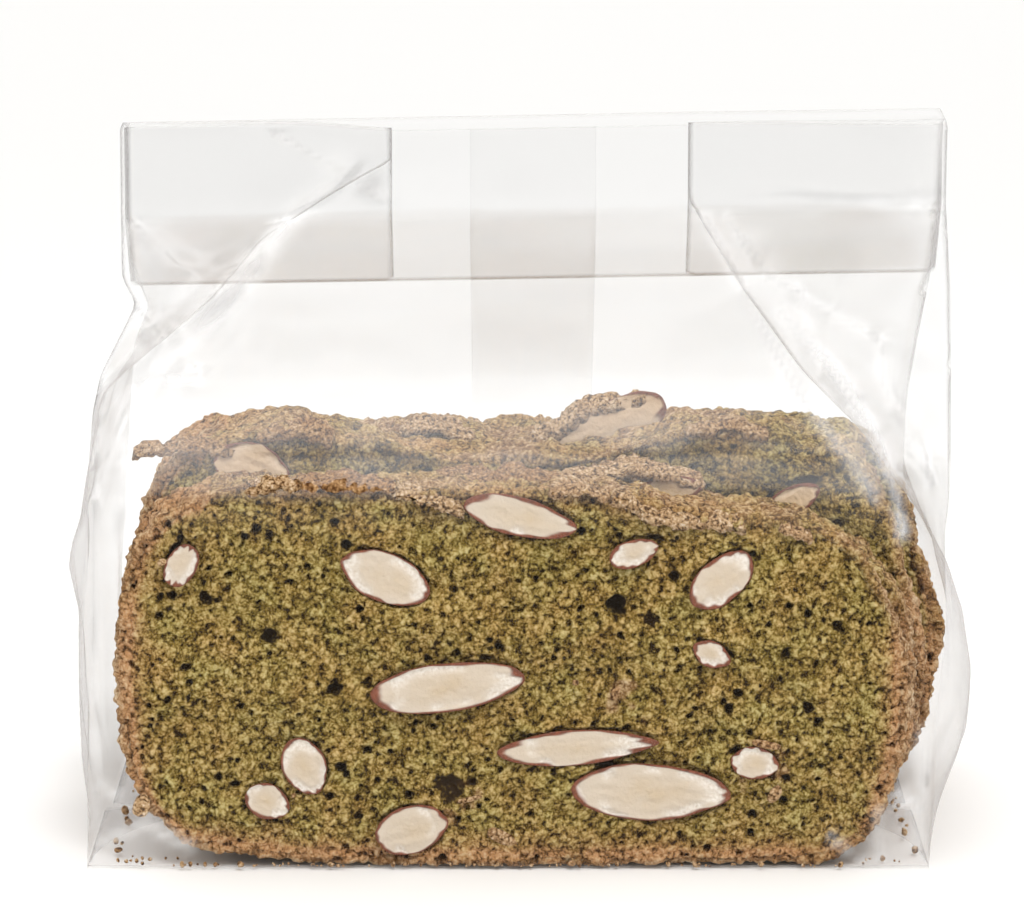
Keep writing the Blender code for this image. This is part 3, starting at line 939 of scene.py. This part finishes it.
def make_crumbs(material):
    """Loose crumbs, modelled once and copied, each copy shaped and sized its own way."""
    rng = np.random.default_rng(5)
    total = sum(spot[0] for spot in CRUMB_SPOTS)
    deselect()
    bpy.ops.mesh.primitive_uv_sphere_add(segments=8, ring_count=6, radius=1.0)
    crumbs = bpy.context.active_object
    copies = crumbs.modifiers.new("copies", "ARRAY")
    copies.count = total
    copies.relative_offset_displace = (1.5, 0.0, 0.0)
    one = coordinates(crumbs.data)
    bpy.ops.object.modifier_apply(modifier=copies.name)
    placed = []
    for count, low, high, smallest, largest in CRUMB_SPOTS:
        for _ in range(count):
            radius = 0.5 * (smallest + (largest - smallest) * rng.random() ** 2.5)
            knobbly = one * (1.0 + 0.35 * soft_noise(one + rng.random(3) * 50.0, 0.8, 7)[:, None])
            squash = radius * (0.75 + 0.5 * rng.random(3))
            middle = np.array(low) + (np.array(high) - low) * rng.random(3)
            middle[2] = max(middle[2], radius + 0.3)
            placed.append(knobbly * squash + middle)
    place(crumbs.data, np.vstack(placed))
    start_object("loose_crumbs")
    add_attribute(crumbs.data, "browned", np.repeat(rng.random(total) * 0.7, len(one)))
    finish_piece(crumbs, material)


# The bag. Heights and values as (z, value) stops, where the folds and creases run.
LEFT_FOLD = [(0.0, -62.0), (25.0, -61.6), (54.0, -61.2), (66.0, -61.0), (71.2, -60.2),
             (80.6, -55.6), (84.0, -57.9), (92.0, -58.5), (108.0, -58.5)]
RIGHT_FOLD = [(0.0, 60.8), (25.0, 61.6), (48.0, 63.0), (60.0, 63.4), (81.0, 64.8), (108.0, 65.0)]
BACK_LEFT_FOLD = [(0.0, -61.0), (25.0, -61.2), (54.0, -60.2), (68.0, -58.6), (76.0, -55.6),
                  (84.0, -57.6), (108.0, -57.8)]
BACK_RIGHT_FOLD = [(0.0, 60.2), (25.0, 61.2), (54.0, 62.0), (81.0, 63.6), (108.0, 64.4)]
LEFT_CREASE = [(0.0, -61.4), (4.0, -62.6), (18.0, -64.4), (32.0, -65.6), (40.5, -67.3), (47.0, -65.0),
               (58.0, -62.6), (65.3, -61.0), (72.1, -53.2), (79.6, -44.7), (88.4, -37.3),
               (94.6, -27.5), (100.0, -18.0), (108.0, -18.0)]
RIGHT_CREASE = [(0.0, 61.4), (4.0, 63.6), (14.0, 67.6), (24.0, 69.0), (31.0, 68.6), (38.0, 66.6),
                (46.0, 62.0), (58.6, 52.6), (67.6, 43.5), (79.6, 34.5), (88.0, 29.4), (93.0, 26.4),
                (108.0, 26.4)]
FLAP_LEFT_CREASE = -18.0
FLAP_RIGHT_CREASE = 26.4
SEAM_LEFT = -6.3
SEAM_RIGHT = 12.6
FRONT_DEPTH = [(0.0, 38.7), (54.5, 38.7), (57.5, 37.7), (61.0, 35.0), (66.0, 30.0), (72.0, 23.2),
               (79.0, 14.8), (85.0, 8.0), (89.0, 3.7), (91.2, 1.0), (93.0, 0.65), (108.0, 0.65)]
BACK_DEPTH = [(0.0, 38.7), (54.5, 38.7), (57.5, 37.5), (61.0, 34.4), (66.0, 28.4), (72.0, 20.4),
              (79.0, 12.0), (85.0, 5.8), (89.0, 2.4), (91.2, 0.6), (93.0, 0.1), (108.0, 0.1)]
HEADER_TILT = 0.018
# Distance of each layer from the middle of the fold over the top: front panel, the two
# halves of the gusset, and back panel
LAYER_RADII = (1.1, 0.85, 0.60, 0.35)
FOLD_MIDDLE_Y = 0.45
BASE_ROWS, BODY_ROWS, TENT_ROWS, HEADER_ROWS, TURN_ROWS, FLAP_ROWS = 14, 44, 42, 15, 8, 24


def section_keys(settings):
    """The eight key points of each cross-section of the sheet, row by row up the bag.

    They are: the seam's inner end, back left fold, left crease, front left fold, front right
    fold, right crease, back right fold, and the seam's outer end.
    """
    rows = []
    base_half = FRONT_DEPTH[0][1]
    for share in np.linspace(0.0, 1.0, BASE_ROWS + 1)[:-1]:
        y = base_half * share
        tuck = 36.0 * (1.0 - share)
        rows.append([(SEAM_RIGHT, y, 0.30), (-61.0, y, 0.30), (-61.4 + tuck, 0.0, 0.50),
                     (-62.0, -y, 0.12), (60.8, -y, 0.12), (61.4 - tuck, 0.0, 0.50),
                     (60.2, y, 0.30), (SEAM_LEFT, y, 0.18)])
    fold_z = settings.fold_height / MM - LAYER_RADII[0]
    seal_z = settings.seal_height / MM
    body = np.concatenate([np.linspace(0.25, 54.0, BODY_ROWS), np.linspace(55.0, seal_z, TENT_ROWS),
                           np.linspace(seal_z + 0.6, fold_z, HEADER_ROWS)])
    for z in body:
        front = -stops(FRONT_DEPTH, z, 1.2)
        back = stops(BACK_DEPTH, z, 1.2)
        crease_y = ease(84.0, 93.0, z) * (FOLD_MIDDLE_Y - 0.5 * (LAYER_RADII[1] + LAYER_RADII[2]))
        rows.append([(SEAM_RIGHT, back, z), (stops(BACK_LEFT_FOLD, z, 1.0), back, z),
                     (stops(LEFT_CREASE, z, 0.8), crease_y, z), (stops(LEFT_FOLD, z, 0.8), front, z),
                     (stops(RIGHT_FOLD, z, 1.0), front, z), (stops(RIGHT_CREASE, z, 1.0), crease_y, z),
                     (stops(BACK_RIGHT_FOLD, z, 1.0), back, z), (SEAM_LEFT, back + 0.13, z)])
    for angle in np.linspace(0.0, math.pi, TURN_ROWS + 1)[1:]:
        share = angle / math.pi
        layer = [(FOLD_MIDDLE_Y - r * math.cos(angle), fold_z + r * math.sin(angle))
                 for r in LAYER_RADII]
        gusset = ((layer[1][0] + layer[2][0]) / 2, (layer[1][1] + layer[2][1]) / 2)
        rows.append([(SEAM_RIGHT, *layer[3]), (-57.8 - 0.2 * share, *layer[3]),
                     (FLAP_LEFT_CREASE, *gusset), (-58.5 + 0.8 * share, *layer[0]),
                     (65.0 - 0.6 * share, *layer[0]), (FLAP_RIGHT_CREASE, *gusset),
                     (64.4 - 0.2 * share, *layer[3]), (SEAM_LEFT, *layer[3])])
    for z in np.linspace(fold_z - 1.0, settings.flap_end / MM, FLAP_ROWS):
        # Below the seal the flap lies on the back of the tent
        lifted = max(stops(BACK_DEPTH, z, 1.2) - 0.2, 0.0)
        layer = [FOLD_MIDDLE_Y + r + lifted for r in LAYER_RADII]
        gusset = (layer[1] + layer[2]) / 2
        rows.append([(SEAM_RIGHT, layer[3], z), (-58.0, layer[3], z),
                     (FLAP_LEFT_CREASE, gusset, z), (-57.7, layer[0], z),
                     (64.4, layer[0], z), (FLAP_RIGHT_CREASE, gusset, z),
                     (64.2, layer[3], z), (SEAM_LEFT, layer[3] - 0.1, z)])
    return np.array(rows)


SEGMENT_COLUMNS = (40, 26, 26, 150, 26, 26, 34)

# Creases pressed into the front panel: (path of (x, z), width, depth)
FRONT_CREASES = [
    ([(-22.0, 101.0), (-27.2, 95.1), (-36.8, 89.4), (-43.8, 82.0), (-51.5, 75.6), (-60.0, 70.5)], 2.6, 1.1),
    ([(-56.0, 91.0), (-49.9, 85.5), (-44.0, 82.0)], 1.6, 0.8),
    ([(-49.9, 85.5), (-38.1, 85.1)], 1.2, 0.6),
    ([(-55.8, 80.7), (-53.1, 76.9), (-46.2, 71.2)], 1.6, 0.9),
    ([(-46.2, 71.2), (-39.9, 76.9)], 1.2, 0.5),
    ([(-51.5, 75.6), (-57.0, 64.0), (-60.0, 57.0)], 1.8, 0.9),
    ([(28.1, 91.3), (33.6, 82.0), (42.0, 71.8), (50.4, 64.1), (57.0, 56.0)], 2.2, 0.8),
    ([(42.4, 80.7), (54.6, 75.0)], 1.2, 0.6), ([(54.6, 75.0), (63.0, 72.0)], 1.4, 0.7),
    ([(59.7, 61.5), (63.4, 53.7)], 1.3, 0.8), ([(48.0, 76.0), (58.0, 66.0)], 1.0, 0.4),
    ([(-60.6, 10.6), (-57.5, 8.6)], 0.7, 0.5), ([(-60.0, 4.0), (-51.0, 6.2), (-46.5, 2.0)], 0.9, 0.5),
    ([(46.2, 6.0), (49.0, 3.6)], 0.8, 0.6), ([(50.5, 2.8), (53.2, 1.4)], 0.7, 0.5),
    ([(57.5, 12.0), (60.0, 6.0)], 0.8, 0.5), ([(58.6, 24.0), (60.6, 14.0)], 0.9, 0.6),
]


# Painted highlights and painted grey reflections along the folds of the front panel: (path of (x, z), width, how
# white, how grey)
PAINTED_FOLD_HIGHLIGHTS_AND_GREYS = [
    ([(-52.0, 61.0), (10.0, 63.0), (54.0, 60.0)], 7.0, 0.13, 0.0),
    ([(-25.2, 97.6), (-31.9, 93.0), (-36.5, 87.6), (-44.0, 79.1), (-48.8, 74.7), (-54.0, 70.0)],
     1.5, 0.55, 0.0),
    ([(-35.7, 104.4), (-24.4, 97.6), (-20.0, 94.5)], 0.7, 0.5, 0.2),
    ([(-27.0, 99.5), (-19.5, 95.0)], 2.0, 0.4, 0.0),
    ([(-56.0, 90.3), (-49.0, 86.5), (-38.5, 84.6)], 1.8, 0.0, 0.35),
    ([(-40.5, 82.0), (-49.3, 76.5), (-55.0, 72.6)], 1.9, 0.0, 0.5),
    ([(-56.4, 91.0), (-47.0, 83.4), (-54.5, 76.0)], 0.8, 0.0, 0.45),
    ([(-55.5, 80.5), (-53.2, 76.5), (-60.0, 69.0)], 0.8, 0.3, 0.4),
    ([(-50.5, 70.6), (-46.0, 70.4), (-47.0, 71.6)], 0.8, 0.9, 0.0),
    ([(-59.6, 69.0), (-52.0, 71.0), (-44.5, 72.0)], 0.8, 0.0, 0.3),
    ([(-60.6, 70.0), (-60.3, 54.0), (-60.4, 40.0), (-60.8, 26.0)], 0.9, 0.1, 0.6),
    ([(-57.0, 68.0), (-56.2, 56.0), (-57.6, 44.0)], 0.8, 0.25, 0.15),
    ([(29.0, 90.3), (35.5, 79.1), (40.6, 69.8), (48.9, 59.9), (52.6, 55.0)], 1.0, 0.25, 0.4),
    ([(32.1, 90.3), (38.2, 82.5), (42.6, 80.5)], 0.8, 0.2, 0.45),
    ([(42.6, 80.8), (43.6, 76.4), (39.7, 77.9)], 1.0, 0.5, 0.1),
    ([(39.7, 77.9), (46.6, 71.7), (52.0, 64.5), (55.0, 57.5), (56.4, 50.0)], 0.9, 0.75, 0.0),
    ([(34.8, 86.5), (42.3, 74.5), (49.4, 65.2), (54.0, 57.6)], 3.0, 0.1, 0.3),
    ([(43.0, 80.3), (54.5, 74.5), (53.8, 70.5), (57.5, 62.0)], 0.8, 0.1, 0.35),
    ([(61.2, 93.5), (63.4, 98.0), (64.6, 103.0)], 2.2, 0.5, 0.0),
    ([(59.7, 61.2), (60.6, 57.0)], 0.8, 0.2, 0.5), ([(33.0, 95.0), (57.0, 92.6)], 0.8, 0.3, 0.0),
    ([(-60.0, 4.0), (-53.1, 7.0), (-50.7, 5.4), (-47.0, 3.4)], 0.8, 0.45, 0.0),
    ([(-60.8, 13.4), (-57.5, 11.0)], 0.8, 0.5, 0.0), ([(-60.6, 20.0), (-60.8, 6.0)], 1.2, 0.3, 0.2),
    ([(46.5, 4.9), (49.1, 2.6)], 0.6, 0.45, 0.0), ([(50.4, 1.8), (51.8, 1.0)], 0.6, 0.45, 0.0),
    ([(53.3, 9.0), (53.5, 1.2)], 0.8, 0.1, 0.35), ([(56.6, 11.0), (59.5, 8.9)], 0.8, 0.6, 0.0),
    ([(60.2, 20.0), (59.4, 4.0)], 1.2, 0.3, 0.2),
]


def make_bag(settings, material):
    """The whole bag as one sheet of film, rolled into a tube and lapped at the back."""
    keys = section_keys(settings)
    columns = sum(SEGMENT_COLUMNS)
    rows = len(keys) - 1
    deselect()
    bpy.ops.mesh.primitive_grid_add(x_subdivisions=columns, y_subdivisions=rows, size=1.0)
    bag = bpy.context.active_object
    mesh = bag.data
    grid = coordinates(mesh)
    column = np.rint((grid[:, 0] + 0.5) * columns).astype(int)
    row = np.rint((grid[:, 1] + 0.5) * rows).astype(int)
    starts = np.concatenate([[0], np.cumsum(SEGMENT_COLUMNS)])
    segment = np.clip(np.searchsorted(starts, column, side="right") - 1, 0, len(SEGMENT_COLUMNS) - 1)
    share = (column - starts[segment]) / np.array(SEGMENT_COLUMNS)[segment]
    near = keys[row, segment]
    far = keys[row, segment + 1]
    points = near + (far - near) * share[:, None]
    x, y, z = points.T.copy()
    panel_front = segment == 3
    panel_back = (segment == 0) | (segment == 6)
    left_side = (segment == 1) | (segment == 2)
    right_side = (segment == 4) | (segment == 5)
    gusset = left_side | right_side
    one_wall = row < BASE_ROWS + BODY_ROWS + TENT_ROWS + HEADER_ROWS
    in_tent = ease(54.0, 64.0, z) * (1.0 - ease(80.0, 90.0, z)) * one_wall
    in_body = ease(2.0, 10.0, z) * (1.0 - ease(48.0, 58.0, z)) * one_wall
    low = ease(0.5, 3.0, z) * (1.0 - ease(8.0, 16.0, z)) * one_wall

    # The gussets bulge in the body as a round belly, not as a sharp edge
    from_middle = np.clip(np.abs(y) / np.maximum(stops(FRONT_DEPTH, z), 1.0), 0.0, 1.0)
    belly = np.where(left_side, stops(LEFT_FOLD, z) - stops(LEFT_CREASE, z),
                     stops(RIGHT_CREASE, z) - stops(RIGHT_FOLD, z))
    rounder = np.maximum(belly, 0.0) * (from_middle - from_middle**2) * gusset * one_wall
    points[:, 0] += rounder * np.where(left_side, -1.0, 1.0)

    # Crumples: flat facets with sharp creases, and soft waves under them
    warp = 3.0 * soft_noise(points, 14.0, 21)
    facets = facet_noise(0.9 * x + 0.5 * z + warp, 0.9 * z - 0.4 * x + warp, 15.0, 6)
    small_facets = facet_noise(0.7 * x - 0.6 * z, 0.6 * x + 0.8 * z + warp, 7.0, 9)
    side_facets = facet_noise(0.8 * y + 0.5 * z + warp, 0.9 * z - 0.4 * y + warp, 12.0, 8)
    waves = soft_noise(points * np.array([1.0, 0.2, 1.0]), 17.0, 3)
    off_middle = ease(8.0, 40.0, np.abs(x - 3.0))
    move = np.zeros(len(points))
    move += panel_front * in_tent * (0.9 * waves + (0.6 + 1.6 * off_middle) * facets
                                     + 0.7 * off_middle * small_facets)
    move += panel_back * in_tent * (1.1 * waves + 1.3 * facets + 0.5 * small_facets)
    move += panel_front * in_body * 0.16 * (0.8 + 0.5 * waves + 0.5 * small_facets)
    move += panel_front * low * off_middle * 0.35 * small_facets
    move += panel_back * in_body * 0.25 * (0.8 + waves + 0.5 * facets)
    move += gusset * in_body * (1.0 * side_facets + 0.35 * waves)
    move += gusset * in_tent * 1.2 * side_facets * np.sin(np.pi * share)
    for path, width, depth in FRONT_CREASES:
        crease = np.exp(-(distance_to_path(x, z, path) / width) ** 2)
        move -= panel_front * one_wall * depth * crease
    outwards = np.zeros_like(points)
    outwards[panel_front] = (0.0, -1.0, 0.0)
    outwards[panel_back] = (0.0, 1.0, 0.0)
    outwards[left_side] = (-1.0, 0.0, 0.0)
    outwards[right_side] = (1.0, 0.0, 0.0)
    points = points + outwards * move[:, None]
    # The film lies on the front slice and falls back into the corners round it
    # Painted highlights (pale) and painted grey reflections (grey) along the folds of the front panel
    pale, grey = np.zeros((2, len(points)))
    patchy = 0.85 + 0.4 * soft_noise(points, 7.0, 31)
    for path, width, white, dark in PAINTED_FOLD_HIGHLIGHTS_AND_GREYS:
        mark = np.exp(-(distance_to_path(x, z, path) / width) ** 2)
        mark *= patchy * panel_front * one_wall
        pale = np.maximum(pale, white * mark)
        grey = np.maximum(grey, dark * mark)
    across = np.maximum(0.0, np.abs(x - 0.1) - 46.5)
    up = np.maximum(0.0, np.abs(z - 28.7) - 16.7)
    outside = ease(-1.0, 6.0, np.hypot(across, up) - 11.0) * (1.0 - ease(56.0, 61.0, z))
    points[:, 1] += (panel_front * 1.4 - panel_back * 1.0) * outside * one_wall * ease(0.0, 2.0, z)

    header = ease(84.0, 93.0, z)
    flat = points * np.array([1.0, 0.0, 1.0])
    sway = soft_noise(flat, 30.0, 12) + 0.35 * soft_noise(flat, 11.0, 13)
    points[:, 1] += 0.7 * header * sway
    # The heat seal draws the layers together along a crinkled line
    seal = np.exp(-((z - settings.seal_height / MM) / 0.7) ** 2) * one_wall
    points[:, 1] += seal * (0.3 * soft_noise(flat, 1.6, 14))
    inner = (1.0 - panel_front) * ease(97.0, 105.5, z)
    points[:, 2] -= inner * (1.2 * ease(-34.0, -16.0, x) + 0.4 * ease(30.0, 64.0, x))
    points[:, 2] += HEADER_TILT * points[:, 0] * ease(60.0, 83.0, z)
    points[:, 2] += 0.25 * seal * soft_noise(flat * np.array([1.0, 0.0, 0.0]), 5.0, 15)
    add_attribute(mesh, "pale", pale)
    add_attribute(mesh, "grey", grey)
    place(mesh, points)
    solid = bag.modifiers.new("film", "SOLIDIFY")
    solid.thickness = settings.film
    solid.offset = 0.0
    bpy.ops.object.modifier_apply(modifier=solid.name)
    start_object("bag_film")
    finish_piece(bag, material)
    # What bounces off the food and the floor passes the film as if it weren't there
    bag.visible_diffuse = False
    bag.visible_glossy = False
    bag.visible_shadow = False


# Operators


class WAFERS_OT_slices(bpy.types.Operator):
    """Model the five slices of almond loaf"""
    bl_idname = "wafers.slices"
    bl_label = "Slices"

    def execute(self, context):
        settings = context.scene.wafer_settings
        material = crumb_material(settings)
        for index, entry in enumerate(SLICES):
            make_wafer(index, entry, settings, material)
        return {"FINISHED"}


class WAFERS_OT_almonds(bpy.types.Operator):
    """Model the cut almonds in the slices"""
    bl_idname = "wafers.almonds"
    bl_label = "Almonds"

    def execute(self, context):
        settings = context.scene.almond_settings
        material = almond_material(settings)
        for k, entry in enumerate(ALMONDS):
            make_almond(f"almond_{k + 1:02d}", entry, settings, context.scene.wafer_settings,
                        material, 300 + k)
        return {"FINISHED"}


class WAFERS_OT_crust(bpy.types.Operator):
    """Model the lifted crust, the chips and the loose crumbs"""
    bl_idname = "wafers.crust"
    bl_label = "Crust and crumbs"

    def execute(self, context):
        settings = context.scene.wafer_settings
        crust = flake_material(settings)
        for k, entry in enumerate(FLAKES):
            make_flake(f"crust_{k + 1:02d}", entry, settings, crust)
        for k, entry in enumerate(NUT_CHIPS):
            make_chip(f"nut_chip_{k + 1}", entry, crust, 500 + k, -0.2)
        for k, entry in enumerate(SKIN_CHIPS):
            make_chip(f"skin_chip_{k + 1}", entry, crust, 520 + k, 0.5)
        make_crumbs(crust)
        return {"FINISHED"}


class WAFERS_OT_bag(bpy.types.Operator):
    """Model the clear film bag"""
    bl_idname = "wafers.bag"
    bl_label = "Bag"

    def execute(self, context):
        settings = context.scene.film_settings
        make_bag(settings, film_material(settings))
        return {"FINISHED"}


class WAFERS_OT_stage(bpy.types.Operator):
    """Lay the floor, and set the light and the camera"""
    bl_idname = "wafers.stage"
    bl_label = "Stage"

    def execute(self, context):
        settings = context.scene.stage_settings
        scene = context.scene
        deselect()
        bpy.ops.mesh.primitive_plane_add(size=8.0, location=(0.0, 0.0, -0.0002))
        floor = start_object("floor")
        floor.data.materials.append(floor_material(settings))
        target = (np.array([0.0, FRONT_Y - 0.3, 60.5]) + CENTRE_SHIFT) * MM
        key = add_softbox("key", (0.22, -0.70, 0.95), target, 0.35, 0.30, 40.0)
        # Its reflection would burn out the crumpled film; the room's panels show there instead
        key.visible_glossy = False
        bpy.ops.object.light_add(type="SUN", rotation=(0.0, 0.0, 0.0))
        ceiling = bpy.context.active_object
        ceiling.name = "ceiling"
        ceiling.data.energy = 0.64
        ceiling.data.angle = math.radians(100.0)
        world = bpy.data.worlds.new("studio")
        scene.world = world
        world.use_nodes = True
        # A white room with brighter and darker panels, dimmer towards the horizon, so that
        # the creases of the film have something to show
        tree = world.node_tree
        direction = add_node(tree, "ShaderNodeTexCoord", {}, {}, "Generated")
        upward = add_node(tree, "ShaderNodeSeparateXYZ", {}, {0: direction}, "Z")
        panels = add_node(tree, "ShaderNodeTexNoise", {}, {
            "Vector": direction, "Scale": 2.4, "Detail": 0.0})
        uneven = add_node(tree, "ShaderNodeMapRange", {}, {
            "Value": panels, "From Min": 0.4, "From Max": 0.6, "To Min": 0.35, "To Max": 1.55})
        strength = add_node(tree, "ShaderNodeMapRange", {}, {
            "Value": upward, "From Min": 0.0, "From Max": 1.0, "To Min": 0.52, "To Max": 1.05})
        level = add_node(tree, "ShaderNodeMath", {"operation": "MULTIPLY"}, {0: uneven, 1: strength})
        back = tree.nodes["Background"]
        back.inputs["Color"].default_value = (1.0, 1.0, 1.0, 1.0)
        tree.links.new(level, back.inputs["Strength"])
        elevation = settings.elevation
        distance = settings.camera_distance
        away = np.array([0.0, -math.cos(elevation), math.sin(elevation)]) * distance
        bpy.ops.object.camera_add(location=target + away,
                                  rotation=(math.pi / 2 - elevation, 0.0, 0.0))
        camera = bpy.context.active_object
        camera.name = "camera"
        camera.data.sensor_width = 36.0
        camera.data.lens = 36.0 * distance / MM / settings.scale / 1024.0
        camera.data.clip_start = 0.01
        scene.camera = camera
        scene.view_settings.view_transform = "Standard"
        scene.cycles.transparent_max_bounces = 64
        scene.cycles.max_bounces = 3
        scene.cycles.diffuse_bounces = 2
        scene.cycles.glossy_bounces = 1
        return {"FINISHED"}


def add_softbox(name, location, target, size, power, spread):
    """A square softbox that faces the target, with a grid that keeps its light on it."""
    deselect()
    away = np.array(location) - target
    flat = math.hypot(away[0], away[1])
    bpy.ops.object.light_add(type="AREA", location=location, rotation=(
        math.atan2(flat, away[2]), 0.0, math.atan2(away[1], away[0]) + math.pi / 2))
    light = bpy.context.active_object
    light.name = name
    light.data.shape = "SQUARE"
    light.data.size = size
    light.data.energy = power
    light.data.spread = math.radians(spread)
    return light


class WAFERS_PT_panel(bpy.types.Panel):
    """Lists the pieces and their settings"""
    bl_idname = "WAFERS_PT_panel"
    bl_label = "Almond wafers"
    bl_space_type = "VIEW_3D"
    bl_region_type = "UI"
    bl_category = "Wafers"

    def draw(self, context):
        column = self.layout.column()
        for operator in (WAFERS_OT_slices, WAFERS_OT_almonds, WAFERS_OT_crust, WAFERS_OT_bag,
                         WAFERS_OT_stage):
            column.operator(operator.bl_idname)
        for name, group in GROUPS.items():
            box = self.layout.box()
            for key in group.__annotations__:
                box.prop(getattr(context.scene, name), key)


GROUPS = {
    "wafer_settings": WaferSettings,
    "almond_settings": AlmondSettings,
    "film_settings": FilmSettings,
    "stage_settings": StageSettings,
}
CLASSES = (WaferSettings, AlmondSettings, FilmSettings, StageSettings, WAFERS_OT_slices,
           WAFERS_OT_almonds, WAFERS_OT_crust, WAFERS_OT_bag, WAFERS_OT_stage, WAFERS_PT_panel)


def register():
    """Registers the classes and hangs the settings on the scene."""
    for cls in CLASSES:
        bpy.utils.register_class(cls)
    for name, group in GROUPS.items():
        setattr(bpy.types.Scene, name, PointerProperty(type=group))


def unregister():
    """Removes the settings and the classes."""
    for name in GROUPS:
        delattr(bpy.types.Scene, name)
    for cls in reversed(CLASSES):
        bpy.utils.unregister_class(cls)


def main():
    """Builds every piece in order."""
    register()
    deselect()
    bpy.ops.wafers.slices()
    bpy.ops.wafers.almonds()
    bpy.ops.wafers.crust()
    bpy.ops.wafers.bag()
    bpy.ops.wafers.stage()


if __name__ == "__main__":
    main()
